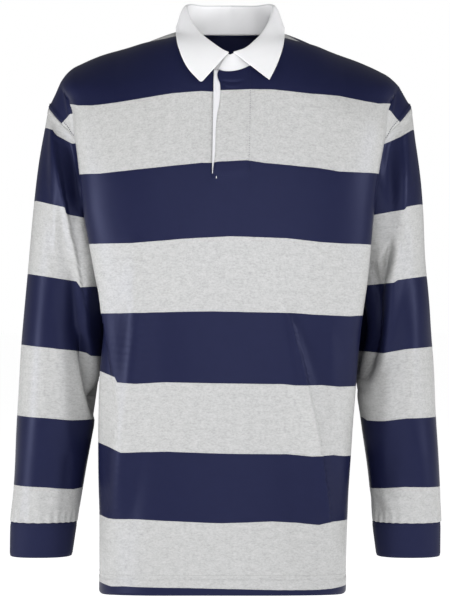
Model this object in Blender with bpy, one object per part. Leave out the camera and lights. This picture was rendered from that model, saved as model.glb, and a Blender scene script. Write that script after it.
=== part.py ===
"""Rugby-style polo shirt, hollow in its worn form: metres, +Z up, chest towards -Y.
The origin is at the middle of the neck base, level with the high points of the shoulders."""

import bpy
import numpy as np

# Driving sizes
WALL = 0.0015  # jersey of the body and the sleeves
TWILL = 0.0014  # collar and placket cloth
SEAM = 0.0002  # how far each edge stands back from its seam
HEM = -0.745  # lower edge at centre front
HEM_SIDE = -0.751
HEM_CORNER = 0.005  # how far the hem turns up at the folds
NECK_HALF = 0.066  # neck seam, half its width at the shoulders
FRONT_NECK = -0.061  # height of the neck seam at centre front
BACK_NECK = (0.072, 0.004)  # its y and height at centre back
FOLD = 0.228  # across the chest to the soft fold before the armhole
UNDERARM = 0.3287  # share of the way down from the shoulder tip to the hem
CHEST_ROUND = 2.4
HOLLOW = 0.011  # how far the cloth behind the fold dips in beside the sleeve
PLACKET_EDGE, PLACKET_ROLL = -0.0211, -0.0135  # the slit filled by the rolled facing

# height, shift sideways, half width, fold's y, side seam inset, front depth, back depth
TORSO = (
    (-0.7600, -0.0103, 0.1647, 0.030, 0.000, 0.121, 0.116),
    (-0.6508, -0.0095, 0.1653, 0.036, 0.001, 0.122, 0.115),
    (-0.5536, -0.0078, 0.1687, 0.050, 0.008, 0.124, 0.113),
    (-0.4577, -0.0020, 0.1705, 0.064, 0.014, 0.126, 0.112),
    (-0.4010, 0.0030, 0.1710, 0.070, 0.018, 0.128, 0.114),
    (-0.3416, 0.0030, 0.1786, 0.076, 0.026, 0.131, 0.118),
    (-0.2850, 0.0000, 0.1866, 0.078, 0.026, 0.134, 0.122),
    (-0.2485, -0.0020, 0.1913, 0.078, 0.026, 0.135, 0.125),
    (-0.1904, -0.0020, 0.1986, 0.074, 0.026, 0.133, 0.127),
    (-0.1500, -0.0010, 0.2048, 0.068, 0.026, 0.127, 0.127),
    (-0.0960, 0.0000, 0.2139, 0.064, 0.026, 0.114, 0.124),
    (-0.0740, 0.0000, 0.2280, 0.062, 0.026, 0.108, 0.119),
    (-0.0500, 0.0000, 0.2280, 0.062, 0.026, 0.101, 0.110),
    (0.0100, 0.0000, 0.2280, 0.062, 0.026, 0.086, 0.074),
)
# across, seam's y, seam's height, how much the back rises over it, how much the right rises
SHOULDER = (
    (0.0660, -0.018, -0.0062, 0.0075, 0.0010),
    (0.0885, -0.013, -0.0113, 0.0062, 0.0013),
    (0.1150, -0.005, -0.0165, 0.0025, 0.0020),
    (0.1350, 0.000, -0.0230, 0.0000, 0.0030),
    (0.1790, 0.003, -0.0373, 0.0000, 0.0046),
    (0.2000, 0.004, -0.0466, 0.0000, 0.0048),
    (0.2125, 0.004, -0.0533, 0.0000, 0.0050),
    (0.2200, 0.004, -0.0598, 0.0000, 0.0046),
    (0.2280, 0.004, -0.0690, 0.0000, 0.0030),
)
# height, across, front y, back y
ARMHOLE = (
    (-0.3150, 0.1700, 0.0030, 0.0030),
    (-0.3050, 0.1708, -0.0170, 0.0230),
    (-0.2750, 0.1745, -0.0380, 0.0450),
    (-0.2250, 0.1830, -0.0550, 0.0610),
    (-0.1750, 0.1950, -0.0560, 0.0620),
    (-0.1405, 0.2095, -0.0480, 0.0540),
    (-0.1245, 0.2255, -0.0380, 0.0445),
    (-0.1145, 0.2350, -0.0275, 0.0345),
    (-0.1075, 0.2405, -0.0165, 0.0245),
    (-0.1035, 0.2438, -0.0075, 0.0155),
    (-0.1015, 0.2453, 0.0040, 0.0040),
)
# height, outer edge, inner edge of each sleeve (the wearer's right is at -X)
SLEEVE_RIGHT = (
    (-0.7061, -0.2955, -0.2129),
    (-0.6589, -0.2948, -0.2061),
    (-0.6103, -0.2916, -0.1986),
    (-0.5158, -0.2878, -0.1812),
    (-0.4577, -0.2842, -0.1735),
    (-0.4010, -0.2795, -0.1690),
    (-0.3400, -0.2745, -0.1698),
    (-0.3150, -0.2723, -0.1715),
    (-0.2262, -0.2641, -0.1715),
    (-0.1571, -0.2552, -0.1715),
    (-0.1015, -0.2453, -0.1715),
)
SLEEVE_LEFT = (
    (-0.7061, 0.2821, 0.1976),
    (-0.6561, 0.2826, 0.1914),
    (-0.6103, 0.2826, 0.1878),
    (-0.5184, 0.2790, 0.1774),
    (-0.4577, 0.2750, 0.1668),
    (-0.4010, 0.2715, 0.1660),
    (-0.3400, 0.2667, 0.1690),
    (-0.3150, 0.2648, 0.1715),
    (-0.2316, 0.2587, 0.1715),
    (-0.1580, 0.2525, 0.1715),
    (-0.1015, 0.2453, 0.1715),
)
# share of the sleeve's length, middle's y, half depth
SLEEVE_DEPTH = (
    (0.00, 0.003, 0.068),
    (0.35, 0.003, 0.066),
    (0.60, 0.000, 0.060),
    (0.85, -0.008, 0.048),
    (1.00, -0.012, 0.041),
    (1.09, -0.014, 0.036),
)
SLEEVE_SLIM = 0.35  # how much narrower the sleeve is against the body, near the underarm
SLEEVE_TOP, SLEEVE_END = -0.1015, -0.6570
CUFF_GAP, CUFF_MOUTH = 1.0007, 1.083  # as shares of the sleeve's length

# Round the collar: share of the way from centre back to centre front, x, y, z
STAND_TOP = (
    (0.00, 0.0000, 0.060, 0.0425),
    (0.20, 0.0350, 0.050, 0.0412),
    (0.38, 0.0550, 0.022, 0.0400),
    (0.50, 0.0582, -0.004, 0.0335),
    (0.62, 0.0520, -0.030, 0.0130),
    (0.78, 0.0335, -0.060, -0.0135),
    (0.90, 0.0155, -0.079, -0.0295),
    (1.00, 0.0020, -0.0865, -0.0365),
    (1.08, -0.0125, -0.0875, -0.0425),
)
LEAF_RIGHT = (
    (0.00, 0.0000, 0.088, -0.0040),
    (0.20, -0.0420, 0.076, -0.0020),
    (0.38, -0.0660, 0.044, 0.0030),
    (0.50, -0.0728, 0.004, 0.0075),
    (0.58, -0.0726, -0.026, 0.0030),
    (0.66, -0.0716, -0.052, -0.0110),
    (0.78, -0.0674, -0.078, -0.0307),
    (0.90, -0.0555, -0.098, -0.0560),
    (1.00, -0.0380, -0.112, -0.0757),
)
LEAF_LEFT = (
    (0.00, 0.0000, 0.088, -0.0040),
    (0.20, 0.0420, 0.076, -0.0020),
    (0.38, 0.0660, 0.044, 0.0030),
    (0.50, 0.0732, 0.004, 0.0070),
    (0.58, 0.0730, -0.026, 0.0030),
    (0.66, 0.0722, -0.052, -0.0110),
    (0.78, 0.0688, -0.078, -0.0300),
    (0.90, 0.0605, -0.096, -0.0530),
    (1.00, 0.0510, -0.110, -0.0720),
)
STAND_OVER, STAND_UNDER = 1.08, -1.06  # where the two ends of the stand lie
LAP = 0.0028  # how far the under end of the stand lies behind the over end
LEAF_ROLL = 0.004
LEAF_CLEAR = 0.0050  # from the body to the outer face of a leaf lying on it

# Placket layers, cut across: distance from centre front, distance out from the panel
FACING = ((-0.0208, 0.0002), (-0.0195, 0.0012), (-0.0150, 0.0012), (-0.0139, 0.0002),
          (-0.0139, -0.0021), (0.0, -0.0021), (0.0140, -0.0021), (0.0262, -0.0021),
          (0.0262, -0.0035), (0.0140, -0.0035), (0.0, -0.0035), (-0.0175, -0.0035),
          (-0.0208, -0.0017))
UNDER = ((-0.0340, -0.0026), (-0.0250, -0.0026), (-0.0215, -0.0040), (0.0, -0.0040),
         (0.0160, -0.0040), (0.0160, -0.0054), (0.0, -0.0054), (-0.0225, -0.0054),
         (-0.0262, -0.0040), (-0.0340, -0.0040))

ROWS = (0, 0.004, 0.014, 0.035, 0.07, 0.115, 0.165, 0.208, 0.2455, 0.285, UNDERARM,
        0.40, 0.48, 0.56, 0.64, 0.72, 0.80, 0.87, 0.935, 1)
SLIT_ROWS = ROWS.index(0.2455)  # the placket's slit ends on this row
ACROSS = (0, 0.022, 0.042, 0.055, 0.0625, NECK_HALF, 0.100, 0.135, 0.168, 0.195,
          0.214, 0.224, FOLD)
NAVY, GREY, WHITE = (0.028, 0.031, 0.078, 1), (0.6, 0.6, 0.6, 1), (0.85, 0.85, 0.87, 1)


def smooth(table, column, at):
    """A smooth curve through a table whose first column rises."""
    xs, ys = np.array([(row[0], row[column]) for row in table]).T
    at = np.clip(at, xs[0], xs[-1])
    slope = np.gradient(ys, xs)
    i = np.clip(np.searchsorted(xs, at) - 1, 0, len(xs) - 2)
    step = xs[i + 1] - xs[i]
    t = (at - xs[i]) / step
    return (ys[i] * (2 * t**3 - 3 * t**2 + 1) + ys[i + 1] * (3 * t**2 - 2 * t**3)
            + step * (slope[i] * (t**3 - 2 * t**2 + t) + slope[i + 1] * (t**3 - t**2)))


def crown(u, face):
    """What a panel hangs from: the shoulder seam, and across the neck the line between the seams."""
    a = abs(u)
    if a >= NECK_HALF:
        z = smooth(SHOULDER, 2, a) - np.sign(u) * smooth(SHOULDER, 4, a)
        return np.array([u, smooth(SHOULDER, 1, a), z])
    y, z = SHOULDER[0][1:3]
    z -= np.sign(u) * SHOULDER[0][4] * (a / NECK_HALF) ** 2
    if face < 0:
        return np.array([u, y, z])
    across = np.sqrt(1 - (a / NECK_HALF) ** 2)
    return np.array([u, y + (BACK_NECK[0] - y) * across**0.8,
                     z + (BACK_NECK[1] - z) * across**0.5])


def top_edge(u, face):
    """Neckline and shoulder seam of a panel (face is -1 in front, 1 behind)."""
    top = crown(u, face)
    if face > 0 or abs(u) >= NECK_HALF:
        return top
    across = np.sqrt(1 - (u / NECK_HALF) ** 2)
    return hang(u, top[2] + (FRONT_NECK - top[2]) * across**1.6, face)


def section(u, z, face):
    """x and y of the torso at a height, u metres across the chest from its middle."""
    a = abs(u) / FOLD
    half = smooth(TORSO, 2, z)
    x = u * (1 + (half / FOLD - 1) * a**2)
    r = min(abs(x) / half, 1)
    fold_y = smooth(TORSO, 3, z)
    depth = smooth(TORSO, 5 if face < 0 else 6, z)
    y = fold_y + (depth - fold_y) * (1 - r**CHEST_ROUND) ** (1 / CHEST_ROUND)
    return x + smooth(TORSO, 1, z), face * y


def rounding(u, face):
    """How squarely the cloth turns down from the shoulder, squarest beside the neck."""
    return 2 + np.clip((0.15 - abs(u)) / 0.08, 0, 1) * (0.6 if face < 0 else 2.0)


def hang(u, z, face):
    """The panel's point at a height, where it hangs from its crown over the torso."""
    top = crown(u, face)
    n = rounding(u, face)
    q = np.clip((top[2] - z) / (0.12 - 0.04 * abs(u) / FOLD), 0, 1)
    keep = 1 - (1 - (1 - q) ** n) ** (1 / n)
    x, y = section(u, z, face)
    at_top = section(u, top[2], face)
    if face > 0 and abs(u) >= NECK_HALF:
        z += smooth(SHOULDER, 3, abs(u)) * np.sin(np.pi * min(1, (1 - keep) / 0.85))
    return np.array([x + (top[0] - at_top[0]) * keep, y + (top[1] - at_top[1]) * keep, z])


def chest(u, t, face):
    """A point of the front or the back, between its two soft folds."""
    a = abs(u) / FOLD
    top = top_edge(u, face)
    near = max(0, 1 - t / UNDERARM)
    down = t * (1 - 0.7 * (1 - a**3) * near)
    end = HEM + (HEM_SIDE - HEM) * a**2 + HEM_CORNER * a**24
    return hang(u, top[2] + (end - top[2]) * down, face)


def edge(side, t, face):
    """Armhole seam down to the underarm, then the side seam."""
    z = SLEEVE_TOP + (HEM_SIDE - SLEEVE_TOP) * t + HEM_CORNER * t**24
    if t <= UNDERARM + 1e-9:
        column = 2 if face < 0 else 3
        return np.array([side * smooth(ARMHOLE, 1, z), smooth(ARMHOLE, column, z), z])
    ease = min(1, (t - UNDERARM) / 0.2)
    inset = smooth(TORSO, 4, z)
    x = smooth(TORSO, 1, z) + side * (smooth(TORSO, 2, z) - inset)
    start = side * ARMHOLE[0][1]
    below = (t - UNDERARM) / 0.08
    x = x + (start - x) * max(0, 1 - below) ** 2
    return np.array([x, 0.005 * (1 - ease), z])


def flank(side, f, t, face):
    """Behind the soft fold: from the fold (f = 0) to the seam (f = 1)."""
    a, b = chest(side * FOLD, t, face), edge(side, t, face)
    deep = (b - a)[1] * np.array([0, 1, 0])
    tuck = min(1, t / 0.03)
    first = a + (b - a) / 3 * (1 - tuck) + deep * 0.3 * tuck
    last = b - (b - a) / 3 * (1 - tuck) - deep * 0.7 * tuck
    last[0] -= side * HOLLOW * np.clip((t - 0.12) / 0.12, 0, 1) * np.clip((0.6 - t) / 0.2, 0, 1)
    g = 1 - f
    return a * g**3 + first * 3 * g**2 * f + last * 3 * g * f**2 + b * f**3


def panel_points(face, across):
    rows = []
    for t in ROWS:
        left = [flank(-1, f, t, face) for f in (1, 0.6, 0.25)]
        right = [flank(1, f, t, face) for f in (0.25, 0.6, 1)]
        rows.append(left + [chest(u, t, face) for u in across] + right)
    return np.array(rows)


def sleeve_line(table, share):
    """Outer and inner edge of a sleeve at a share of its length."""
    along, past = min(share, 1), max(share - 1, 0) * (SLEEVE_END - SLEEVE_TOP)
    high = SLEEVE_TOP + (SLEEVE_END - SLEEVE_TOP) * along + past
    low = ARMHOLE[0][0] + (SLEEVE_END - ARMHOLE[0][0]) * along + past
    y = smooth(SLEEVE_DEPTH, 1, share)
    return (np.array([smooth(table, 1, high), y, high]),
            np.array([smooth(table, 2, low), y, low]))


def tube(table, share, turn):
    outer, inner = sleeve_line(table, share)
    c, s = np.cos(turn), np.sin(turn)
    c, s = np.sign(c) * abs(c) ** 0.9, np.sign(s) * abs(s) ** 0.9
    middle, half = (outer + inner) / 2, (outer - inner) / 2
    slim = 1 - SLEEVE_SLIM * max(0, 1 - share / 0.7) * (1 - c) / 2
    return middle + half * c - np.array([0, smooth(SLEEVE_DEPTH, 2, share) * s * slim, 0])


def armhole_ring(side):
    """The armhole seam from the shoulder tip down the front and up the back."""
    down = [t for t in ROWS if t <= UNDERARM + 1e-9]
    front = [edge(side, t, -1) for t in down]
    back = [edge(side, t, 1) for t in down[-2:0:-1]]
    return front + back


def sleeve_points(table, side):
    ring = armhole_ring(side)
    rows = []
    for share in (0, 0.012, 0.04, 0.09, 0.16, 0.24, 0.32, 0.40, 0.48, 0.56, 0.64, 0.72,
                  0.80, 0.87, 0.94, 1):
        keep = max(0, 1 - share / 0.22) ** 2
        turns = [2 * np.pi * k / len(ring) for k in range(len(ring))]
        rows.append([tube(table, share, w) + (p - tube(table, 0, w)) * keep
                     for w, p in zip(turns, ring)])
    return np.array(rows)


def cuff_points(table):
    turns = [2 * np.pi * k / 20 for k in range(20)]
    return np.array([[tube(table, share, w) for w in turns]
                     for share in np.linspace(CUFF_GAP, CUFF_MOUTH, 3)])


def stand_foot(w):
    """The neck seam, w from 0 at centre back to 1 at centre front, less than 0 on the right."""
    face = 1 if abs(w) < 0.5 else -1
    return top_edge(NECK_HALF * np.sin(np.pi * w), face) + np.array([0, 0, 4 * SEAM])


def stand_top(w):
    side = -1 if w < 0 else 1
    x, y, z = (smooth(STAND_TOP, k, abs(w)) for k in (1, 2, 3))
    return np.array([side * x, y, z])


def lapped(point, w):
    """The stand's under end, at the wearer's right, moved behind its over end."""
    back = np.clip((-w - 0.78) / 0.14, 0, 1)
    return point + np.array([0, LAP * back * back * (3 - 2 * back), 0])


def stand_points():
    behind = [np.arcsin(u / NECK_HALF) / np.pi for u in ACROSS if u <= NECK_HALF]
    half = behind + [1 - w for w in reversed(behind)]
    ways = [STAND_UNDER] + [-w for w in reversed(half[1:])] + half + [STAND_OVER]
    ways = sorted(set(round(w, 6) for w in ways))
    return np.array([[lapped(stand_foot(w) * (1 - v) + stand_top(w) * v, w) for w in ways]
                     for v in (0, 0.33, 0.67, 1)])


def clear_of(point, face):
    """Moves a point of the collar's fall out along the panel's normal, softly, to clear it."""
    x, y, z = point
    top = crown(x, face)
    n = rounding(x, face)
    high = 0.12 - 0.04 * abs(x) / FOLD
    deep = abs(section(x, top[2], face)[1] - top[1]) + 1e-4
    shift = abs(section(x, z, face)[1]) - abs(section(x, top[2], face)[1])
    q = np.clip(1 - (top[2] - z) / high, 0.02, 2)
    k = max((abs(y - top[1]) - shift) / deep, 0.02) if (y - top[1]) * face > 0 else 0.02
    radius = (q**n + k**n) ** (1 / n)
    slope = np.array([0, face * k ** (n - 1) / deep, q ** (n - 1) / high])
    length = np.linalg.norm(slope)
    short = LEAF_CLEAR - (radius - 1) / (length * radius ** (1 - n))
    push = (short + np.sqrt(short**2 + 0.002**2)) / 2
    return point + slope / length * push


def leaf(w, v):
    """The collar's fall, from its fold (v = 0) to its edge, resting on the body."""
    side = -1 if w < 0 else 1
    table = LEAF_RIGHT if w < 0 else LEAF_LEFT
    fold = lapped(stand_top(w), w) + np.array([0, 0, 0.0023])
    rim = np.array([smooth(table, k, abs(w)) for k in (1, 2, 3)])
    step = stand_top(min(abs(w) + 0.02, 1.02)) - stand_top(max(abs(w) - 0.02, -0.02))
    if abs(w) < 0.02:
        step = np.array([1.0, 0, 0])
    out = np.array([-step[1] * side, step[0], 0])
    out /= np.linalg.norm(out)
    point = fold + (rim - fold) * v + out * LEAF_ROLL * np.sin(np.pi * v**0.5)
    return clear_of(point, -1 if abs(w) > 0.5 else 1)


def leaf_points():
    half = [0.1, 0.19, 0.28, 0.36, 0.43, 0.49, 0.54, 0.58, 0.62, 0.66, 0.71, 0.77, 0.84,
            0.92, 1]
    ways = [-w for w in reversed(half)] + [0] + half
    return np.array([[leaf(w, v) for w in ways] for v in (0, 0.03, 0.12, 0.35, 0.6, 0.75, 0.88, 1)])


def normals(points, ring=False):
    """Unit normals of a grid of points, from its rows and columns."""
    down = np.gradient(points, axis=0)
    if ring:
        along = np.roll(points, -1, 1) - np.roll(points, 1, 1)
    else:
        along = np.gradient(points, axis=1)
    n = np.cross(along, down)
    return n / np.linalg.norm(n, axis=2, keepdims=True)


def shorten(points, edges):
    """Draws the named edges of a grid back from their seams."""
    points = points.copy()
    pairs = {"top": ((0, slice(None)), (1, slice(None))),
             "end": ((-1, slice(None)), (-2, slice(None))),
             "left": ((slice(None), 0), (slice(None), 1)),
             "right": ((slice(None), -1), (slice(None), -2))}
    for name in edges:
        here, there = pairs[name]
        way = points[there] - points[here]
        points[here] += way / np.linalg.norm(way, axis=1, keepdims=True) * SEAM
    return points


def shell(name, colour, outer, inner, ring=False, absent=()):
    """A closed wall between two grids of points; absent cells are left open."""
    rows, columns = outer.shape[:2]
    count = rows * columns
    across = columns if ring else columns - 1
    cells = {(i, j) for i in range(rows - 1) for j in range(across)} - set(absent)

    def at(i, j, layer=0):
        return layer * count + i * columns + j % columns

    faces = []
    for i, j in sorted(cells):
        faces.append((at(i, j), at(i + 1, j), at(i + 1, j + 1), at(i, j + 1)))
        faces.append((at(i, j, 1), at(i, j + 1, 1), at(i + 1, j + 1, 1), at(i + 1, j, 1)))
        left, right = ((j - 1) % across, (j + 1) % across) if ring else (j - 1, j + 1)
        beside = (((i - 1, j), (i, j), (i, j + 1)), ((i + 1, j), (i + 1, j + 1), (i + 1, j)),
                  ((i, left), (i + 1, j), (i, j)), ((i, right), (i, j + 1), (i + 1, j + 1)))
        for cell, a, b in beside:
            if cell not in cells:
                faces.append((at(*a), at(*b), at(*b, 1), at(*a, 1)))
    add_solid(name, colour, np.concatenate([outer.reshape(-1, 3), inner.reshape(-1, 3)]), faces)


def sweep(name, colour, sections):
    """A closed solid through a row of outlines, each a list of points in order."""
    sections = np.array(sections)
    rows, corners = sections.shape[:2]
    faces = [tuple(range(corners)), tuple(reversed(range((rows - 1) * corners, rows * corners)))]
    for i in range(rows - 1):
        for j in range(corners):
            k = (j + 1) % corners
            faces.append((i * corners + j, (i + 1) * corners + j,
                          (i + 1) * corners + k, i * corners + k))
    add_solid(name, colour, sections.reshape(-1, 3), faces)


def add_solid(name, colour, points, faces):
    used = sorted({k for face in faces for k in face})
    place = {k: n for n, k in enumerate(used)}
    mesh = bpy.data.meshes.new(name)
    mesh.from_pydata(points[used].tolist(), [], [[place[k] for k in f] for f in faces])
    if signed_volume(mesh) < 0:
        mesh.flip_normals()
    material = bpy.data.materials.new(name)
    material.use_nodes = True
    material.node_tree.nodes["Principled BSDF"].inputs["Base Color"].default_value = colour
    material.diffuse_color = colour
    mesh.materials.append(material)
    bpy.context.scene.collection.objects.link(bpy.data.objects.new(name, mesh))


def signed_volume(mesh):
    mesh.calc_loop_triangles()
    points = np.array([v.co for v in mesh.vertices])
    corners = points[np.array([t.vertices for t in mesh.loop_triangles])]
    return float(np.linalg.det(corners).sum())


def share_normals(a, b):
    """The same wall direction on both sides of a seam, where the two nearly agree."""
    both = a + b
    same = (a * b).sum(-1, keepdims=True) > 0.2
    both /= np.maximum(np.linalg.norm(both, axis=-1, keepdims=True), 1e-9)
    return np.where(same, both, a), np.where(same, both, b)


def add_body():
    """Front, back and sleeves, whose walls share their direction at the seams."""
    across_back = sorted({s * u for u in ACROSS for s in (-1, 1)})
    across_front = sorted({s * u for u in ACROSS if u != 0.022 for s in (-1, 1)}
                          | {PLACKET_EDGE, PLACKET_ROLL, 0.022})
    front, back = panel_points(-1, across_front), panel_points(1, across_back)
    sleeves = {-1: sleeve_points(SLEEVE_RIGHT, -1), 1: sleeve_points(SLEEVE_LEFT, 1)}
    n_front, n_back = normals(front), normals(back)
    n_front *= np.sign(-n_front[12, 12, 1])
    n_back *= np.sign(n_back[12, 12, 1])
    n_sleeve = {}
    for side, points in sleeves.items():
        n = normals(points, ring=True)
        n_sleeve[side] = n * np.sign(n[8, 0, 0] * side)
    shoulder = [k for k, u in enumerate(across_front) if abs(u) >= NECK_HALF - 1e-9]
    match = [across_back.index(across_front[k]) for k in shoulder]
    ends_f, ends_b = [0, 1, 2] + [k + 3 for k in shoulder], [0, 1, 2] + [k + 3 for k in match]
    ends_f += [front.shape[1] - k for k in (3, 2, 1)]
    ends_b += [back.shape[1] - k for k in (3, 2, 1)]
    n_front[0, ends_f], n_back[0, ends_b] = share_normals(n_front[0, ends_f], n_back[0, ends_b])
    low = ROWS.index(UNDERARM)
    for column, side in ((0, -1), (-1, 1)):
        n_front[low:, column], n_back[low:, column] = share_normals(
            n_front[low:, column], n_back[low:, column])
        ring = n_sleeve[side][0]
        n_front[: low + 1, column], ring[: low + 1] = share_normals(
            n_front[: low + 1, column], ring[: low + 1])
        n_back[low - 1 : 0 : -1, column], ring[low + 1 :] = share_normals(
            n_back[low - 1 : 0 : -1, column], ring[low + 1 :])
    slit = across_front.index(PLACKET_EDGE) + 3
    all_round = ("top", "left", "right")
    front = shorten(front, all_round)
    back = shorten(back, all_round)
    shell("front", NAVY, front, front - n_front * WALL,
          absent=[(i, slit) for i in range(SLIT_ROWS)])
    shell("back", NAVY, back, back - n_back * WALL)
    for side, name in ((-1, "sleeve_right"), (1, "sleeve_left")):
        points = shorten(sleeves[side], ("top", "end"))
        shell(name, NAVY, points, points - n_sleeve[side] * WALL, ring=True)
    for table, name, side in ((SLEEVE_RIGHT, "cuff_right", -1), (SLEEVE_LEFT, "cuff_left", 1)):
        points = cuff_points(table)
        n = normals(points, ring=True)
        n *= np.sign(n[1, 0, 0] * side)
        shell(name, NAVY, points, points - n * WALL, ring=True)


def add_collar():
    for name, points in (("collar_stand", stand_points()), ("collar_fall", leaf_points())):
        n = normals(points)
        middle = points.shape[1] // 2
        n *= np.sign(n[1, middle, 1] if name == "collar_stand" else n[4, middle, 1])
        shell(name, WHITE, points, points - n * TWILL)


def add_placket():
    """The two layers sewn to the slit: the rolled facing, and the one it laps over."""
    for name, outline, start in (("placket_facing", FACING, 0.012),
                                 ("placket_under", UNDER, 0.020)):
        sections = []
        for t in (start,) + ROWS[1:SLIT_ROWS] + (ROWS[SLIT_ROWS] - 0.001,):
            sections.append([off_front(u, t, out) for u, out in outline])
        sweep(name, WHITE, sections)


def off_front(u, t, out):
    """A point of the front, moved out along its normal."""
    point = chest(u, t, -1)
    down = chest(u, t + 0.01, -1) - chest(u, max(t - 0.01, 0), -1)
    along = chest(u + 0.004, t, -1) - chest(u - 0.004, t, -1)
    n = np.cross(down, along)
    return point - n * np.sign(n[1]) / np.linalg.norm(n) * out


for old in list(bpy.data.objects):
    bpy.data.objects.remove(old, do_unlink=True)
add_body()
add_collar()
add_placket()
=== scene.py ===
"""Looks of a rugby-style polo shirt, filled out as if worn: striped jersey, white twill collar
and hidden placket, plain cuffs, creases, seams and stitches. Metres, +Z up, chest towards -Y.
The tables are in millimetres, and their shares in thousandths."""

import math

import bpy
import numpy as np
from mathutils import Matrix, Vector


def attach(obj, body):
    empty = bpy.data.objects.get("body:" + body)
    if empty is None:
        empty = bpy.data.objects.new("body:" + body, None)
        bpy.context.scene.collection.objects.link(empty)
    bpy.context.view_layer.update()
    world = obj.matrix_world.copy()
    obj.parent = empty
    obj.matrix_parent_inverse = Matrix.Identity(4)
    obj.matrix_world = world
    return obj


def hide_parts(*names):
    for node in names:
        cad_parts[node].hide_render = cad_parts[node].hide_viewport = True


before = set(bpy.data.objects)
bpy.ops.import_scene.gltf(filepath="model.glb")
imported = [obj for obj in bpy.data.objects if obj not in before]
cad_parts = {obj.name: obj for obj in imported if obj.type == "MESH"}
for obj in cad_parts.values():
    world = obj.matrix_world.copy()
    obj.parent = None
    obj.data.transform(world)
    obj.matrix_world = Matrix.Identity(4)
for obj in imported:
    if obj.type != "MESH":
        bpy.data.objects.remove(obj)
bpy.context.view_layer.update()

# ---------------------------------------------------------------- sizes of the cut
JERSEY, TWILL, CUFF_THICK = 0.0013, 0.0014, 0.0022  # how thick each cloth is
STRIPE = 0.0955  # mean width of a stripe; the cloth's length is counted in it
HEM, HEM_SIDE, HEM_CORNER = -0.745, -0.751, 0.005  # heights, and the rise at the corners
NECK_HALF, FRONT_NECK = 0.066, -0.061  # half width, and height at centre front
NECK_TILT = 0.05  # how the front of the neck rises towards the wearer's left
BACK_NECK = (0.072, 0.004)  # y and height at centre back
FOLD = 0.228  # across, from the middle to the soft fold of the side
UNDERARM, UNDERARM_X, UNDERARM_Z = 0.3287, 0.170, -0.315  # share of the way down, x, height
CHEST_ROUND = 2.4  # 2 would be an ellipse
FRONT_ROUND, BACK_ROUND = 0.6, 2.0  # how much more squarely the crown bends near the neck
HANG_HIGH, HANG_LOSS = 0.12, 0.04  # how far down the crown shapes the chest, less at the fold
HOLLOW = 0.011  # how far the flank sinks in round the underarm
SLEEVE_SLIM = 0.35  # how much flatter the sleeve is on its inner side at the top
SLEEVE_TOP, SLEEVE_END = -0.1015, -0.6570
CUFF_GAP, CUFF_MOUTH = 1.0007, 1.083  # shares of the sleeve's length
PLACKET_EDGE = -0.0214  # across, the underlap side of the placket's slit
PLACKET_END = 0.2455  # share of the way down where the slit ends
PLACKET_STITCH = 0.0262  # across, the stitch line that holds the facing
SLIT_LEFT = -0.0150  # across, where the columns of points start at its other side

# height, shift sideways, half width, fold's y, side seam inset, front depth, back depth
TORSO = (
    (-760, -10.3, 164.7, 30, 0, 121, 116),
    (-650.8, -9.5, 165.3, 36, 1, 122, 115),
    (-553.6, -7.8, 168.7, 50, 8, 124, 113),
    (-457.7, -2, 170.5, 64, 14, 126, 112),
    (-401, 3, 171, 70, 18, 128, 114),
    (-341.6, 3, 178.6, 76, 26, 131, 118),
    (-285, 0, 186.6, 78, 26, 134, 122),
    (-248.5, -2, 191.3, 78, 26, 135, 125),
    (-190.4, -2, 198.6, 74, 26, 133, 127),
    (-150, -1, 204.8, 68, 26, 127, 127),
    (-96, 0, 213.9, 64, 26, 114, 124),
    (-74, 0, 228, 62, 26, 108, 119),
    (-50, 0, 228, 62, 26, 101, 110),
    (10, 0, 228, 62, 26, 86, 74),
)
# across, seam's y, seam's height, how much the back rises over it, how much the right rises
SHOULDER = (
    (66, -18, -6.2, 12, 1), (88.5, -13, -11.3, 9.8, 1.3), (115, -5, -16.5, 4.2, 2),
    (135, 0, -23, 0.8, 3), (179, 3, -37.3, 0, 4.6), (200, 4, -46.6, 0, 4.8),
    (212.5, 4, -53.3, 0, 5), (220, 4, -59.8, 0, 4.6), (228, 4, -69, 0, 3),
)
# height, across, front y, back y
ARMHOLE = (
    (-315, 170, 3, 3), (-305, 170.8, -17, 23), (-275, 174.5, -38, 45), (-225, 183, -55, 61),
    (-175, 195, -56, 62), (-140.5, 209.5, -48, 54), (-124.5, 225.5, -38, 44.5),
    (-114.5, 235, -27.5, 34.5), (-107.5, 240.5, -16.5, 24.5), (-103.5, 243.8, -7.5, 15.5),
    (-101.5, 245.3, 4, 4),
)
# height, outer edge, inner edge of each sleeve (the wearer's right is at -X)
SLEEVE_RIGHT = (
    (-706.1, -295.5, -212.9), (-658.9, -294.8, -206.1), (-610.3, -291.6, -198.6),
    (-515.8, -287.8, -181.2), (-457.7, -284.2, -173.5), (-401, -279.5, -169),
    (-340, -274.5, -169.8), (-315, -272.3, -171.5), (-226.2, -264.1, -171.5),
    (-157.1, -255.2, -171.5), (-101.5, -245.3, -171.5),
)
SLEEVE_LEFT = (
    (-706.1, 282.1, 197.6), (-656.1, 282.6, 191.4), (-610.3, 282.6, 187.8),
    (-518.4, 279, 177.4), (-457.7, 275, 166.8), (-401, 271.5, 166), (-340, 266.7, 169),
    (-315, 264.8, 171.5), (-231.6, 258.7, 171.5), (-158, 252.5, 171.5), (-101.5, 245.3, 171.5),
)
# share of the sleeve's length, middle's y, half depth
SLEEVE_DEPTH = (
    (0, 3, 68), (350, 3, 66), (600, 0, 60), (850, -8, 48), (1000, -12, 41), (1090, -14, 36),
)
# Share of the way down and across: the front's wavy edge, where the white facing rolls out
PLACKET_LINE = (
    (0, -14), (12, -15.8), (40, -16.3), (62, -13.3), (90, -12.9), (118, -14.1), (148, -17),
    (176, -18), (225, -18.7), (245.5, -20.4), (270, -19.5), (300, -19), (1000, -19),
)
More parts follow.
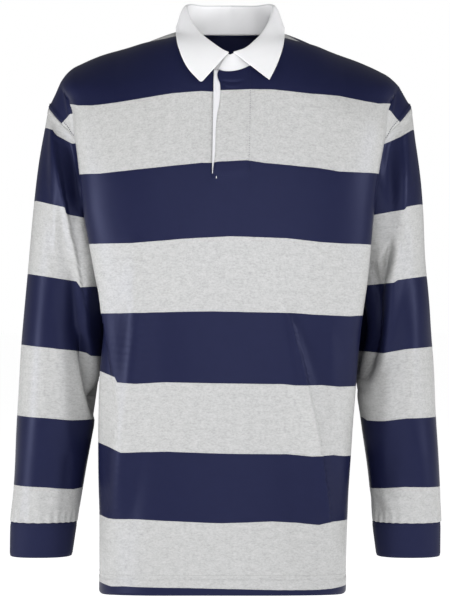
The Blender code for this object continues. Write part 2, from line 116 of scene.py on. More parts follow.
# Round the collar: share of the way from centre back to centre front, x, y, z
STAND_TOP = (
    (0, 0, 60, 42.5), (200, 35, 50, 41.2), (380, 55, 22, 40), (500, 58.2, -4, 33.5),
    (620, 52, -30, 13), (780, 33.5, -60, -13.5), (900, 15.5, -79, -29.5),
    (1000, 2, -86.5, -36.5), (1080, -12.5, -87.5, -42.5),
)
LEAF_RIGHT = (
    (0, 0, 88, -4), (200, -42, 76, -2), (380, -66, 44, 3), (500, -72.8, 4, 7.5),
    (580, -72.6, -26, 3), (660, -71.6, -52, -11), (780, -67.4, -78, -30.7),
    (900, -55.5, -98, -56), (1000, -38, -112, -75.7),
)
LEAF_LEFT = (
    (0, 0, 88, -4), (200, 42, 76, -2), (380, 66, 44, 3), (500, 73.2, 4, 7), (580, 73, -26, 3),
    (660, 72.2, -52, -11), (780, 68.8, -78, -30), (900, 60.5, -96, -53), (1000, 51, -110, -72),
)
STAND_OVER, STAND_UNDER = 1.08, -1.06  # where its ends lie, past centre front
LEFT_SHIFT, LEFT_RISE = 0.0058, 0.0022  # the stand's top edge at the wearer's left
LAP = 0.0028  # how far the under end lies behind the over end
LEAF_ROLL, LEAF_CLEAR = 0.004, 0.0042  # how the fall arches, and clears the body
LEAF_TIP = (0.012, 0.055)  # how far from its corners the fall's edge is rounded
STAND_GAP, FALL_GAP = 0.0008, 0.0016  # over the neck seam, and over the stand

# Lower edge of each stripe of the body: its count, then places across and its height there.
# The cloth is grey from an even count to the next odd one.
BODY_STRIPES = {
    -1: ((-200, -6), (0, 11.8), (200, -3)),
    0: ((-214, -100), (-200, -104.1), (-181, -105.2), (-157, -103.1), (-132, -99.7),
        (-76, -90.5), (-38, -87.5), (-22, -88.5), (-11, -86.4), (27, -85.1), (55, -85.3),
        (80, -88), (106, -90.8), (144, -93.1), (160, -96.3), (180, -99.7), (196, -101.7),
        (214, -99.3)),
    1: ((-198, -195.1), (-171, -195.5), (-120, -190.6), (-38, -182.3), (-22, -182.4),
        (-16, -180.8), (23, -179.1), (45, -182.5), (74, -185.2), (117, -189), (142, -193.2),
        (192, -194.1)),
    2: ((-183, -287), (-130, -286.6), (-60, -281.1), (0, -277.8), (74, -280.3), (117, -285.2),
        (142, -286.8), (184, -287.7)),
    3: ((-164, -378.2), (-43, -375.4), (-13, -375.4), (82, -377.4), (116, -379.9),
        (157, -381.8), (173, -380.9)),
    4: ((-170, -454.5), (-151, -461.5), (-148, -468.2), (-123, -469.8), (-85, -467.7),
        (-13, -468.9), (69, -470.1), (86, -471.8), (119, -471.6), (143, -474.1), (162, -474.1)),
    5: ((-173, -549.1), (-156, -554.4), (-143, -560.1), (-83, -558.1), (-13, -560.2),
        (74, -561.5), (107, -564.9), (135, -563.9), (156, -566.6)),
    6: ((-171, -645.6), (-161, -648.5), (-120, -647.4), (-13, -651.2), (54, -649.1),
        (87, -651.6), (116, -655.4), (135, -652), (152, -652)),
    7: ((-171, -735), (-157, -737.9), (-141, -736), (-62, -735.5), (6, -736.8), (107, -740.1),
        (133, -740.4), (151, -739.5)),
    8: ((0, -830),),
}
# The first stripe's edge past the soft folds
FLANK_EDGE = ((-240, -140.2), (-212.7, -113.4), (212.4, -108.1), (240, -138.5))
# The back's uppermost edge, which crosses the shoulder seams, along the cloth
BACK_YOKE_EDGE = ((-200, 50), (-135, 53.5), (-107, 52), (-60, 42), (60, 42), (78, 56), (95.5, 74),
                  (120, 80), (200, 80))
RIGHT_STRIPES = {
    0: ((-248, -33), (-210, -56)),
    1: ((-248, -128.7), (-236, -134.1), (-234, -139.4), (-221, -146.6), (-210, -152.3)),
    2: ((-260, -227.7), (-240, -232.8), (-219, -237.6), (-217, -246.8), (-196, -251)),
    3: ((-270, -325.6), (-232, -331.3), (-204, -335.8), (-199, -343.5), (-179, -342.6)),
    4: ((-277, -420.5), (-239, -424.2), (-206, -427.9), (-192, -431.1), (-186, -435.3),
        (-176, -436)),
    5: ((-284, -515.1), (-246, -517.1), (-210, -520.3), (-180, -520.3)),
    6: ((-288, -608), (-246, -609.6), (-209, -612.8), (-200, -611.5)),
    7: ((-250, -706),),
}
LEFT_STRIPES = {
    0: ((205, -59), (246, -33)),
    1: ((205, -153.1), (227, -143), (246, -131.6)),
    2: ((192, -247.4), (212, -243.6), (231.5, -240.6), (234.5, -236.7), (254, -232.7)),
    3: ((186, -340.4), (200, -339.2), (217, -337.4), (222, -334), (243, -331.2), (261, -328.7)),
    4: ((176, -429.2), (189, -430.4), (203, -431.3), (219, -428.2), (234, -425.7),
        (268, -423.2)),
    5: ((178, -517.8), (183, -521.5), (202, -521.5), (234, -517.7), (275, -517)),
    6: ((189, -612.4), (232, -609), (278, -610)),
    7: ((240, -709),),
}

# ---------------------------------------------------------------- creases
# Each runs down its face from its start through its middle to its end (x, z pairs), with how
# far it stands out (less than 0 for a trough), its half width, and how far the cloth on the
# right of it as seen from the front stands over the cloth on the left (less than 0: under).
FRONT_FOLDS = (
    # x0, z0, x1, z1, x2, z2, out, width, step
    (-119, -290, -132, -490, -155, -655, 10, 21, 0),
    (-176, -335, -162, -410, -146, -500, 0, 5, 5.2),
    (-170, -480, -166, -570, -158, -690, -2, 12, 0),
    (-116, -480, -122, -560, -134, -690, -2.2, 13, 0),
    (71.5, -360, 108, -505, 134, -670, 7, 9, -5.2),
    (130, -400, 138, -480, 150, -600, 2.2, 12, 0),
    (60, -520, 82, -610, 94, -720, -1.6, 16, 0),
    (-20, -420, 10, -520, 2, -700, 1.4, 30, 0),
    (-80, -300, -85, -420, -70, -560, -1.4, 26, 0),
    (30, -290, 40, -360, 44, -440, -1, 20, 0),
    (-10, -73.5, 3, -76, 16, -73.5, -1, 2.2, 0),
    (-8, -82, 4, -85, 14, -83, -0.8, 2, 0),
    (-220, -82, -213, -110, -206, -150, 3, 4.2, 0),
    (220, -82, 213, -110, 206, -150, 2.6, 4.2, 0),
)
BACK_FOLDS = (
    (129, -330, 136, -460, 160, -640, 4, 14, 0),
    (115, -340, 120, -460, 140, -620, -1.5, 10, 2.4),
    (-100, -360, -120, -480, -132, -660, -1.5, 10, 2.8),
    (-72, -380, -90, -480, -100, -630, 2.2, 14, 0),
    (0, -300, 12, -450, -4, -700, 1.8, 32, 0),
    (-60, -140, -110, -190, -170, -300, -1.8, 18, 0),
    (60, -150, 105, -200, 168, -310, -2, 20, 0),
)
SLEEVE_RIGHT_FOLDS = (
    (-235, -108, -218.5, -225, -194, -372, 6.5, 9, -5.5),
    (-233, -118, -233, -190, -229, -310, 5.2, 8.5, 0),
    (-213, -128, -209, -175, -202, -238, -8.5, 10, 0),
    (-202, -232, -194, -295, -187, -360, 9, 13, 0),
    (-208, -310, -206, -370, -202, -440, -6, 8, 0),
    (-199.5, -403, -186.5, -466, -176.5, -526, -23, 7.2, -6),
    (-192, -330, -190, -400, -188, -470, 3, 7, 0),
    (-226, -380, -222, -450, -214, -560, 2.6, 12, 0),
    (-262, -300, -260, -420, -262, -560, 1.6, 18, 0),
    (-245, -560, -243, -610, -240, -650, -1.6, 12, 0),
    (-214, -560, -217, -600, -222, -645, -1.8, 8, 0),
)
SLEEVE_LEFT_FOLDS = (
    (229, -112, 229.5, -175, 228, -275, 7, 12.5, 0),
    (219, -275, 213, -345, 202, -450, 8.8, 10, 0),
    (215, -285, 204.5, -320, 190, -356, -16, 6.8, 3),
    (214, -130, 213, -180, 216, -240, -5, 12, 0),
    (187, -305, 181, -385, 174, -475, -32, 18, 0),
    (252, -330, 247, -410, 240, -520, 1.6, 14, 0),
    (212, -450, 207, -510, 205, -590, 2.4, 12, 0),
    (190, -618, 197, -634, 203, -648, -3, 5, 0),
    (199, -606, 208, -626, 214, -644, 2.2, 5, 0),
    (240, -560, 243, -610, 246, -650, -1.6, 14, 0),
)


def smooth(table, column, at):
    """A smooth curve through a table whose first column rises."""
    xs, ys = np.array(table)[:, [0, column]].T / 1000
    at = np.clip(at, xs[0], xs[-1])
    slope = np.gradient(ys, xs)
    i = np.clip(np.searchsorted(xs, at) - 1, 0, len(xs) - 2)
    step = xs[i + 1] - xs[i]
    t = (at - xs[i]) / step
    return (ys[i] * (2 * t**3 - 3 * t**2 + 1) + ys[i + 1] * (3 * t**2 - 2 * t**3)
            + step * (slope[i] * (t**3 - 2 * t**2 + t) + slope[i + 1] * (t**3 - t**2)))


def ease(low, high, at):
    """0 below low, 1 above high, and a soft step between."""
    t = np.clip((at - low) / (high - low), 0, 1)
    return t * t * (3 - 2 * t)


def notch(gap, width):
    """1 where the gap is 0, and soon 0 to both sides."""
    return np.exp(-((gap / width) ** 2))


def unit(vectors):
    """The same directions, each 1 long."""
    return vectors / np.maximum(np.linalg.norm(vectors, axis=-1, keepdims=True), 1e-12)


# ---------------------------------------------------------------- form of the body
def crown(u, face):
    """What a panel hangs from: the shoulder seam, and across the neck the line between."""
    a = np.abs(u)
    b = np.minimum(a / NECK_HALF, 1)
    z = smooth(SHOULDER, 2, a) - np.sign(u) * smooth(SHOULDER, 4, a) * b**2
    y = smooth(SHOULDER, 1, a)
    if face > 0:
        across = np.sqrt(1 - b**2)
        y = y + (BACK_NECK[0] - y) * across**0.8
        z = z + (BACK_NECK[1] - z) * across**0.5
    return u, y, z


def neckline(u, face):
    """Height of a panel's top edge."""
    z = crown(u, face)[2]
    if face > 0:
        return z
    across = np.sqrt(1 - np.minimum(np.abs(u) / NECK_HALF, 1) ** 2)
    return z + (FRONT_NECK + NECK_TILT * u - z) * across**1.6


def section(u, z, face):
    """x and y of the torso at a height, u metres across the chest from its middle."""
    half = smooth(TORSO, 2, z)
    x = u * (1 + (half / FOLD - 1) * (u / FOLD) ** 2)
    r = np.minimum(np.abs(x) / half, 1)
    fold_y = smooth(TORSO, 3, z)
    depth = smooth(TORSO, 5 if face < 0 else 6, z)
    y = fold_y + (depth - fold_y) * (1 - r**CHEST_ROUND) ** (1 / CHEST_ROUND)
    return x + smooth(TORSO, 1, z), face * y


def rounding(u, face):
    """How squarely the panel bends from its crown down to the torso; 2 is a round bend."""
    squarer = FRONT_ROUND if face < 0 else BACK_ROUND
    return 2 + np.clip((0.15 - np.abs(u)) / 0.08, 0, 1) * squarer


def hang(u, z, face):
    """The panel's point at a height, where it hangs from its crown over the torso."""
    top = crown(u, face)
    n = rounding(u, face)
    q = np.clip((top[2] - z) / (HANG_HIGH - HANG_LOSS * np.abs(u) / FOLD), 0, 1)
    keep = 1 - (1 - (1 - q) ** n) ** (1 / n)
    x, y = section(u, z, face)
    at_top = section(u, top[2], face)
    if face > 0:
        rise = smooth(SHOULDER, 3, np.abs(u)) * (np.abs(u) >= NECK_HALF)
        z = z + rise * np.sin(np.pi * np.minimum(1, (1 - keep) / 0.85))
    return np.stack([x + (top[0] - at_top[0]) * keep, y + (top[1] - at_top[1]) * keep, z], -1)


def chest(u, t, face):
    """A point of the front or the back, between its two soft folds."""
    a = np.abs(u) / FOLD
    top = neckline(u, face)
    near = np.maximum(0, 1 - t / UNDERARM)
    down = t * (1 - 0.7 * (1 - a**3) * near)
    end = HEM + (HEM_SIDE - HEM) * a**2 + HEM_CORNER * a**24
    return hang(u, top + (end - top) * down, face)


def edge(side, t, face):
    """Armhole seam down to the underarm, then the side seam."""
    z = SLEEVE_TOP + (HEM_SIDE - SLEEVE_TOP) * t + HEM_CORNER * t**24
    arm = np.stack([side * smooth(ARMHOLE, 1, z),
                    smooth(ARMHOLE, 2 if face < 0 else 3, z), z], -1)
    x = smooth(TORSO, 1, z) + side * (smooth(TORSO, 2, z) - smooth(TORSO, 4, z))
    below = np.clip((t - UNDERARM) / 0.08, 0, 1)
    x = x + (side * UNDERARM_X - x) * (1 - below) ** 2
    y = 0.005 * (1 - np.clip((t - UNDERARM) / 0.2, 0, 1))
    return np.where((t <= UNDERARM)[..., None], arm, np.stack([x, y, z], -1))


def flank(side, f, t, face):
    """Behind the soft fold: from the fold (f = 0) to the seam (f = 1)."""
    a, b = chest(np.full_like(t, side * FOLD), t, face), edge(side, t, face)
    deep = (b - a) * np.array([0, 1, 0])
    tuck = np.minimum(1, t / 0.03)[..., None]
    first = a + (b - a) / 3 * (1 - tuck) + deep * 0.3 * tuck
    last = b - (b - a) / 3 * (1 - tuck) - deep * 0.7 * tuck
    hollow = np.clip((t - 0.12) / 0.12, 0, 1) * np.clip((0.6 - t) / 0.2, 0, 1)
    last[..., 0] -= side * HOLLOW * hollow
    f = f[..., None]
    g = 1 - f
    return a * g**3 + first * 3 * g**2 * f + last * 3 * g * f**2 + b * f**3


# ---------------------------------------------------------------- form of the sleeves
def sleeve_line(table, share):
    """Outer and inner edge of a sleeve at a share of its length."""
    along, past = np.minimum(share, 1), np.maximum(share - 1, 0) * (SLEEVE_END - SLEEVE_TOP)
    high = SLEEVE_TOP + (SLEEVE_END - SLEEVE_TOP) * along + past
    low = UNDERARM_Z + (SLEEVE_END - UNDERARM_Z) * along + past
    y = smooth(SLEEVE_DEPTH, 1, share)
    return (np.stack([smooth(table, 1, high), y, high], -1),
            np.stack([smooth(table, 2, low), y, low], -1))


def tube(table, share, turn):
    """Points round a sleeve or cuff, turned from its outer edge over the front."""
    outer, inner = sleeve_line(table, share)
    c, s = np.cos(turn), np.sin(turn)
    c, s = np.sign(c) * np.abs(c) ** 0.9, np.sign(s) * np.abs(s) ** 0.9
    slim = 1 - SLEEVE_SLIM * np.maximum(0, 1 - share / 0.7) * (1 - c) / 2
    points = (outer + inner) / 2 + (outer - inner) / 2 * c[..., None]
    points[..., 1] -= smooth(SLEEVE_DEPTH, 2, share) * s * slim
    return points


# ---------------------------------------------------------------- form of the collar
def stand_foot(w):
    """The neck seam, w from 0 at centre back to 1 at centre front, less than 0 on the right."""
    u = NECK_HALF * np.sin(np.pi * w)
    behind = np.abs(w) < 0.5
    back = hang(u, neckline(u, 1), 1)
    front = hang(u, neckline(u, -1), -1)
    return np.where(behind[..., None], back, front) + np.array([0, 0, STAND_GAP])


def stand_top(w):
    """The stand's upper edge, where the fall turns over."""
    x, y, z = (smooth(STAND_TOP, k, np.abs(w)) for k in (1, 2, 3))
    x = np.where(w < 0, -x, x) + LEFT_SHIFT * ease(0.55, 0.92, w)
    return np.stack([x, y, z + LEFT_RISE * ease(0.86, 1.04, w)], -1)


def lapped(points, w):
    """The stand's under end, at the wearer's right, moved behind its over end."""
    points = points.copy()
    points[..., 1] += LAP * ease(0.78, 0.92, -w)
    return points


def clear_of(points, face):
    """Moves points of the collar's fall out along the panel's normal, softly, to clear it."""
    x, y, z = points[..., 0], points[..., 1], points[..., 2]
    top = crown(x, face)
    n = rounding(x, face)
    high = HANG_HIGH - HANG_LOSS * np.abs(x) / FOLD
    deep = np.abs(section(x, top[2], face)[1] - top[1]) + 1e-4
    shift = np.abs(section(x, z, face)[1]) - np.abs(section(x, top[2], face)[1])
    q = np.clip(1 - (top[2] - z) / high, 0.02, 2)
    k = np.maximum((np.abs(y - top[1]) - shift) / deep, 0.02)
    k = np.where((y - top[1]) * face > 0, k, 0.02)
    radius = (q**n + k**n) ** (1 / n)
    slope = np.stack([0 * q, face * k ** (n - 1) / deep, q ** (n - 1) / high], -1)
    length = np.linalg.norm(slope, axis=-1)
    short = LEAF_CLEAR - (radius - 1) / (length * radius ** (1 - n))
    push = (short + np.sqrt(short**2 + 0.002**2)) / 2
    return points + slope / length[..., None] * push[..., None]


def leaf(w, v):
    """The collar's fall, from its fold (v = 0) to its edge, resting on the body."""
    end = np.where(w < 0, -w, w - 0.02)
    d, e = np.maximum(0, (end - 1) / LEAF_TIP[0] + 1), np.maximum(0, (v - 1) / LEAF_TIP[1] + 1)
    w = w - np.sign(w) * d * (1 - np.sqrt(1 - e**2 / 2)) * LEAF_TIP[0]
    v = v - e * (1 - np.sqrt(1 - d**2 / 2)) * LEAF_TIP[1]
    side = np.where(w < 0, -1.0, 1.0)
    fold = lapped(stand_top(w), w) + np.array([0, 0, FALL_GAP])
    a = np.abs(w)
    rim = np.stack([np.where(w < 0, smooth(LEAF_RIGHT, k, a), smooth(LEAF_LEFT, k, a))
                    for k in (1, 2, 3)], -1)
    step = stand_top(np.minimum(a + 0.02, 1.02)) - stand_top(np.maximum(a - 0.02, 0))
    out = unit(np.stack([-step[..., 1] * side, step[..., 0], 0 * w], -1))
    roll = LEAF_ROLL * np.sin(np.pi * v**0.5) * (1 - 0.9 * ease(0.84, 0.98, a))
    points = fold + (rim - fold) * v[..., None] + out * roll[..., None]
    return np.where((a > 0.5)[..., None], clear_of(points, -1), clear_of(points, 1))


# ---------------------------------------------------------------- cloth from grids of points
def grid_normals(points, facing, ring=False):
    """Unit normals of a grid; facing is a direction that its middle normal agrees with."""
    down = np.gradient(points, axis=0)
    if ring:
        along = np.roll(points, -1, 1) - np.roll(points, 1, 1)
    else:
        along = np.gradient(points, axis=1)
    n = unit(np.cross(along, down))
    middle = n[points.shape[0] // 2, 0 if ring else points.shape[1] // 2]
    return n * np.sign(np.dot(middle, facing))


def spaced(*runs):
    """Places along a line, from each run's start, end and number of places."""
    return np.unique(np.concatenate([np.linspace(*run) for run in runs]))


def partly(flat, points, share):
    """Points moved from flat only by a share of the way."""
    return flat + (points - flat) * share[..., None]


def bow(start, middle, end, s):
    """A curve from start to end that passes middle halfway."""
    pull = 2 * middle - (start + end) / 2
    return start * (1 - s) ** 2 + pull * 2 * s * (1 - s) + end * s**2


def crease(points, normals, folds, where=True):
    """Ridges, troughs and steps along the paths of a table of folds, fading at their ends."""
    x, z = points[..., 0], points[..., 2]
    moved = np.zeros(x.shape)
    s = np.linspace(0, 1, 41)
    for x0, z0, x1, z1, x2, z2, out, width, step in np.array(folds) / 1000:
        px, pz = bow(x0, x1, x2, s), bow(z0, z1, z2, s)
        reach = 4 * width
        near = (where & (x > px.min() - reach) & (x < px.max() + reach)
                & (z > pz.min() - reach) & (z < pz.max() + reach))
        off_x, off_z = x[near][:, None] - px, z[near][:, None] - pz
        gap = off_x**2 + off_z**2
        best = gap.argmin(1)
        row = np.arange(len(best))
        way_x, way_z = np.gradient(px)[best], np.gradient(pz)[best]
        right = np.sign(way_x * off_z[row, best] - way_z * off_x[row, best])
        fade = np.sin(np.pi * np.clip(s[best], 0.02, 0.98)) ** 0.7
        gap = gap[row, best] / (width * (0.55 + 0.45 * fade)) ** 2
        over = np.where(right * np.sign(step) > 0, 0.6 * np.exp(-gap / 4), -0.4 * np.exp(-gap))
        moved[near] += fade * (out * np.exp(-gap) + abs(step) * over)
    return points + normals * moved[..., None]


def unevenness(points, normals, size, seed):
    """Broad, shallow waves, as no cloth lies quite flat."""
    rng = np.random.default_rng(seed)
    moved = np.zeros(points.shape[:2])
    for _ in range(14):
        way = rng.normal(size=3)
        way[2] *= 0.45
        wave = rng.uniform(0.05, 0.16)
        way *= 2 * np.pi / wave / np.linalg.norm(way)
        moved += np.sin(points @ way + rng.uniform(0, 6.28)) * wave / 0.16
    return points + normals * (moved * size / 4)[..., None]


def outward(points, ring):
    """For each point on an open edge of a grid, the direction that leads out of the cloth."""
    inward = points.copy()
    inward[0], inward[-1] = points[1], points[-2]
    if not ring:
        inward[:, 0] += points[:, 1] - points[:, 0]
        inward[:, -1] += points[:, -2] - points[:, -1]
    return unit(points - inward)


def cloth(name, outer, facing, thick, uv, materials, ring=False, absent=()):
    """A closed wall of cloth with rounded edges. absent cells are left open."""
    rows, columns = outer.shape[:2]
    inner = outer - grid_normals(outer, facing, ring) * thick
    rim = (outer + inner) / 2 + outward(outer, ring) * thick * 0.45
    across = columns if ring else columns - 1
    cells = {(i, j) for i in range(rows - 1) for j in range(across)} - set(absent)
    faces, corners, slots = [], [], []

    def face(cell_points, slot=0):
        faces.append([(layer * rows + i) * columns + j % columns for i, j, layer in cell_points])
        corners.extend((i, j) for i, j, layer in cell_points)
        slots.append(slot)

    for i, j in sorted(cells):
        face([(i, j, 0), (i + 1, j, 0), (i + 1, j + 1, 0), (i, j + 1, 0)])
        face([(i, j, 1), (i, j + 1, 1), (i + 1, j + 1, 1), (i + 1, j, 1)], 1)
        left, right = ((j - 1) % across, (j + 1) % across) if ring else (j - 1, j + 1)
        beside = (((i - 1, j), (i, j), (i, j + 1)), ((i + 1, j), (i + 1, j + 1), (i + 1, j)),
                  ((i, left), (i + 1, j), (i, j)), ((i, right), (i, j + 1), (i + 1, j + 1)))
        for cell, a, b in beside:
            if cell not in cells:
                face([(*a, 0), (*b, 0), (*b, 2), (*a, 2)])
                face([(*a, 2), (*b, 2), (*b, 1), (*a, 1)])
    points = np.stack([outer, inner, rim]).reshape(-1, 3)
    used, faces = np.unique(faces, return_inverse=True)
    faces = faces.reshape(-1, 4).tolist()
    return covered(name, points[used], faces, uv[tuple(np.array(corners).T)], materials, slots)


def covered(name, points, faces, uv, materials, slots):
    """A smooth piece that faces outwards, with cloth coordinates for each corner of its faces."""
    mesh = bpy.data.meshes.new(name)
    mesh.from_pydata(points.tolist(), [], faces)
    mesh.uv_layers.new(name="Cloth").data.foreach_set("uv", uv.astype(np.float32).ravel())
    for material in materials:
        mesh.materials.append(material)
    mesh.polygons.foreach_set("material_index", np.minimum(slots, len(materials) - 1))
    mesh.polygons.foreach_set("use_smooth", np.ones(len(faces), bool))
    mesh.calc_loop_triangles()
    corners = np.empty(len(mesh.loop_triangles) * 3, int)
    mesh.loop_triangles.foreach_get("vertices", corners)
    if np.linalg.det(points[corners].reshape(-1, 3, 3)).sum() < 0:
        mesh.flip_normals()
    mesh.update()
    return piece(name, mesh)


def piece(name, data):
    """An object of this mesh, lamp or camera, put in the scene."""
    thing = bpy.data.objects.new(name, data)
    bpy.context.scene.collection.objects.link(thing)
    return thing


def lengths(points, axis):
    """How far along the cloth each point of a grid lies."""
    steps = np.linalg.norm(np.diff(points, axis=axis), axis=2)
    return np.cumsum(np.insert(steps, 0, 0, axis), axis=axis)


def own_map(points):
    """Cloth coordinates of a grid: metres along its rows and columns."""
    return np.stack([lengths(points, 1), lengths(points, 0)], -1)


def edge_line(pairs, x):
    """Height at places across, from pairs of a place and its height."""
    return np.interp(x, *np.array(pairs).T / 1000)


def stripe_count(heights, z):
    """Counts stripes down the cloth, from the height of each stripe's edge at each point."""
    counts = sorted(heights)
    count = np.full(z.shape, float(counts[0]))
    for k, (this, following) in enumerate(zip(counts, counts[1:])):
        high, low = heights[this], heights[following]
        first, last = k == 0, k == len(counts) - 2
        share = np.clip((high - z) / (high - low), -9 if first else 0, 9 if last else 1)
        count += share * (following - this)
    return count


def edge_heights(stripes, x):
    """Height of each stripe's lower edge at places across."""
    return {count: edge_line(pairs, x) for count, pairs in stripes.items()}


# ---------------------------------------------------------------- materials
def add_node(tree, kind, *given, **values):
    """A new node. Named values are its settings or inputs; the given ones are inputs in turn."""
    node = tree.nodes.new(kind)
    for key, value in (*values.items(), *enumerate(given)):
        if isinstance(key, str) and hasattr(node, key):
            setattr(node, key, value)
        elif isinstance(value, bpy.types.NodeSocket):
            tree.links.new(value, node.inputs[key])
        else:
            node.inputs[key].default_value = value
    return node


def maths(tree, operation, *values):
    return add_node(tree, "ShaderNodeMath", *values, operation=operation).outputs[0]


def noise(tree, vector, scale, detail, rough):
    return add_node(tree, "ShaderNodeTexNoise", Vector=vector, Scale=scale, Detail=detail,
                    Roughness=rough).outputs[0]


def mix(tree, share, first, second):
    """The first colour where the share is 0, and the second where it is 1."""
    node = add_node(tree, "ShaderNodeMix", share, data_type="RGBA")
    for socket, colour in zip(node.inputs[6:8], (first, second)):  # its two colours
        if isinstance(colour, tuple):
            socket.default_value = colour
        else:
            tree.links.new(colour, socket)
    return node.outputs[2]


def loops(tree, across, along, given):
    """Columns of a jersey's loops."""
    wale = maths(tree, "PINGPONG", maths(tree, "DIVIDE", across, given["Wale"]), 0.5)
    chevron = maths(tree, "ADD", maths(tree, "DIVIDE", along, given["Course"]), wale)
    course = maths(tree, "PINGPONG", chevron, 0.5)
    return maths(tree, "MULTIPLY_ADD", course, 0.6, maths(tree, "MULTIPLY", wale, 1.2))


def ribs(tree, across, along, given):
    """Fine diagonal ribs of a twill."""
    slant = maths(tree, "ADD", across, maths(tree, "MULTIPLY", along, 0.8))
    return maths(tree, "PINGPONG", maths(tree, "DIVIDE", slant, given["Rib"]), 0.5)


def new_group(kind, name, inputs, outputs):
    """A node group whose inputs and outputs have these names and kinds."""
    tree = bpy.data.node_groups.new(name, kind)
    for way, sockets in (("INPUT", inputs), ("OUTPUT", outputs)):
        for label, sort in sockets.items():
            tree.interface.new_socket(name=label, in_out=way, socket_type="NodeSocket" + sort)
    return tree


def weave(name, sizes, relief, fine, fuzz, broad):
    """A node group of cloth seen close: its relief, with fuzz of a fine scale over it, and the
    slub of its yarn, a broad noise with this scale, detail and roughness."""
    tree = new_group("ShaderNodeTree", name, {"Cloth": "Vector", **dict.fromkeys(sizes, "Float")},
                     {"Height": "Float", "Slub": "Float"})
    for label, size in sizes.items():
        tree.interface.items_tree[label].default_value = size
    given = tree.nodes.new("NodeGroupInput").outputs
    across, along, _ = add_node(tree, "ShaderNodeSeparateXYZ", given["Cloth"]).outputs
    height = maths(tree, "MULTIPLY_ADD", noise(tree, given["Cloth"], fine, 3.0, 0.6), fuzz,
                   relief(tree, across, along, given))
    add_node(tree, "NodeGroupOutput", height, noise(tree, given["Cloth"], *broad))
    return tree


KNIT = weave("jersey knit", {"Wale": 0.0011, "Course": 0.0008}, loops,
             fine=420, fuzz=0.6, broad=(60, 4.0, 0.65))
TWILL_WEAVE = weave("twill weave", {"Rib": 0.0007}, ribs,
                    fine=300, fuzz=0.8, broad=(40, 3.0, 0.6))
NAVY, NAVY_LIGHT = (0.0076, 0.0092, 0.0310, 1), (0.0098, 0.0116, 0.0375, 1)
GREYS = ((0.300, 0.301, 0.296, 1), (0.412, 0.413, 0.408, 1), (0.500, 0.501, 0.496, 1))
GREY_SHARES = (0.30, 0.50, 0.70)  # where in the mixed fibres each grey lies
WHITE, WHITE_DIM = (0.72, 0.72, 0.73, 1), (0.69, 0.69, 0.70, 1)
SOFT_SHINE = (0.55, 0.60, 1.0, 1)


def new_material(name, rough, specular=0.1):
    """A material with the cool, soft shine that all of these cloths have."""
    material = bpy.data.materials.new(name)
    material.use_nodes = True
    shader = material.node_tree.nodes["Principled BSDF"]
    shader.inputs["Roughness"].default_value = rough
    shader.inputs["Specular IOR Level"].default_value = specular
    shader.inputs["Specular Tint"].default_value = SOFT_SHINE
    return material, material.node_tree, shader


def dress(tree, shader, colour, height, strength, depth):
    """Gives a material its colour and its relief."""
    tree.links.new(colour, shader.inputs["Base Color"])
    relief = add_node(tree, "ShaderNodeBump", Strength=strength, Distance=depth, Height=height)
    tree.links.new(relief.outputs[0], shader.inputs["Normal"])


def melange(tree, vector):
    """Grey of mixed light and dark fibres, in short flecks along the rows of loops."""
    short = add_node(tree, "ShaderNodeMapping", vector, Scale=(1.0, 1.7, 1.0)).outputs[0]
    flecks = maths(tree, "MULTIPLY", noise(tree, short, 260, 3.0, 0.80), 0.7)
    blotches = maths(tree, "MULTIPLY", noise(tree, short, 85, 2.0, 0.6), 0.3)
    node = add_node(tree, "ShaderNodeValToRGB", maths(tree, "ADD", flecks, blotches))
    node.color_ramp.elements.new(0.5)
    for element, share, grey in zip(node.color_ramp.elements, GREY_SHARES, GREYS):
        element.position, element.color = share, grey
    return node.outputs[0]


def striped(tree, vector, slub):
    """Solid navy and melange grey, from the cloth's own length."""
    length = add_node(tree, "ShaderNodeSeparateXYZ", vector).outputs[1]
    length = maths(tree, "ADD", length, maths(tree, "MULTIPLY_ADD", slub, 0.0008, -0.0004))
    pair = maths(tree, "FRACT", maths(tree, "DIVIDE", length, 2 * STRIPE))
    navy = mix(tree, slub, NAVY, NAVY_LIGHT)
    return mix(tree, maths(tree, "LESS_THAN", pair, 0.5), navy, melange(tree, vector))


def plain(low, high):
    """The colouring of a plain cloth, whose slub mixes two close colours."""
    return lambda tree, vector, slub: mix(tree, slub, low, high)


def woven(name, group, paint, rough, specular, strength, depth, **sizes):
    """A material of knit or twill. paint gives its colour, and its relief is depth metres high."""
    material, tree, shader = new_material(name, rough, specular)
    vector = add_node(tree, "ShaderNodeUVMap", uv_map="Cloth").outputs[0]
    made = add_node(tree, "ShaderNodeGroup", node_tree=group, Cloth=vector, **sizes).outputs
    dress(tree, shader, paint(tree, vector, made["Slub"]), made["Height"], strength, depth)
    return material


def jersey(name):
    """The striped knit of the body and the sleeves."""
    return woven(name, KNIT, striped, rough=0.40, specular=0.16, strength=0.10, depth=0.0003)


def cuff_knit(name, low, high):
    """The plain knit of the cuffs, coarser than the jersey."""
    return woven(name, KNIT, plain(low, high), rough=0.60, specular=0.2, strength=0.3,
                 depth=0.0005, Wale=0.0016)


def twill(name, low, high):
    """The woven cloth of the collar and the placket."""
    return woven(name, TWILL_WEAVE, plain(low, high), rough=0.8, specular=0.2, strength=0.2,
                 depth=0.0003)


def thread(name, colour):
    """Sewing thread, with painted shade between its fibres, where its relief is low."""
    material, tree, shader = new_material(name, 0.6)
    place = add_node(tree, "ShaderNodeTexCoord").outputs["Object"]
    fibres = noise(tree, place, 900, 2.0, 0.5)
    # Painted shade: the thread is darker where its fibre relief is low.
    dark = tuple(c * 0.75 for c in colour[:3]) + (1,)
    dress(tree, shader, mix(tree, fibres, dark, colour), fibres, 0.3, 0.0002)
    return material


